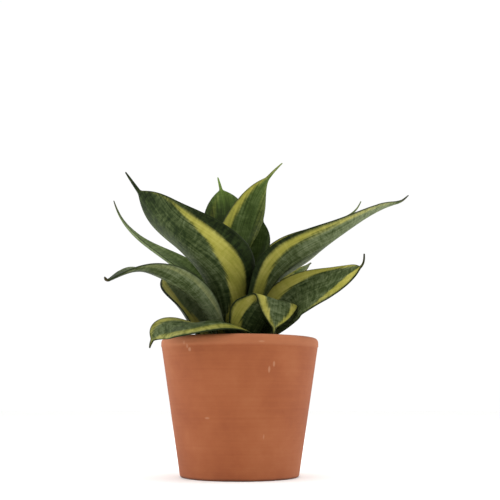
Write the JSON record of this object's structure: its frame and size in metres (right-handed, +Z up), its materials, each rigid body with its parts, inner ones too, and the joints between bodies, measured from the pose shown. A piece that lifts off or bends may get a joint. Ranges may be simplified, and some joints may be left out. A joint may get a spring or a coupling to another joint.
{
  "type": "potted snake plant",
  "caption": "Bird's-nest snake plant with broad pointed leaves, golden bands and dark green centres, growing from soil in a plain tapered terracotta pot.",
  "frame": {"origin": "on the floor under the pot's axis, in the middle of the flat underside that the pot stands on", "axes": "+Z up along the pot's axis; -Y is the front, the side seen in the picture; +X is to the right in that view"},
  "size_m": [0.2471, 0.216, 0.2407],
  "materials": {
    "terracotta": "matte unglazed fired clay with fine turning lines and pale lime marks",
    "potting_soil": "matte dark crumbly potting mix",
    "stem_flesh": "matte fibrous stem tissue",
    "leaf_skin": "waxy satin leaf skin, dark green with golden bands and a thin dark margin"
  },
  "bodies": {
    "root": {"pot": "terracotta", "soil": "potting_soil", "crown": "stem_flesh", "leaf_left_tall": "leaf_skin", "leaf_right_long": "leaf_skin", "leaf_centre": "leaf_skin", "leaf_back_tall": "leaf_skin", "leaf_right_open": "leaf_skin", "leaf_front_folded": "leaf_skin", "leaf_left_arching": "leaf_skin", "leaf_left_short": "leaf_skin", "leaf_rim_draped": "leaf_skin", "leaf_back_right": "leaf_skin", "leaf_left_slender": "leaf_skin", "leaf_right_short": "leaf_skin", "leaf_back_right_long": "leaf_skin", "leaf_back_low": "leaf_skin", "leaf_back_left": "leaf_skin", "leaf_inner_furled": "leaf_skin"}
  },
  "joints": []
}
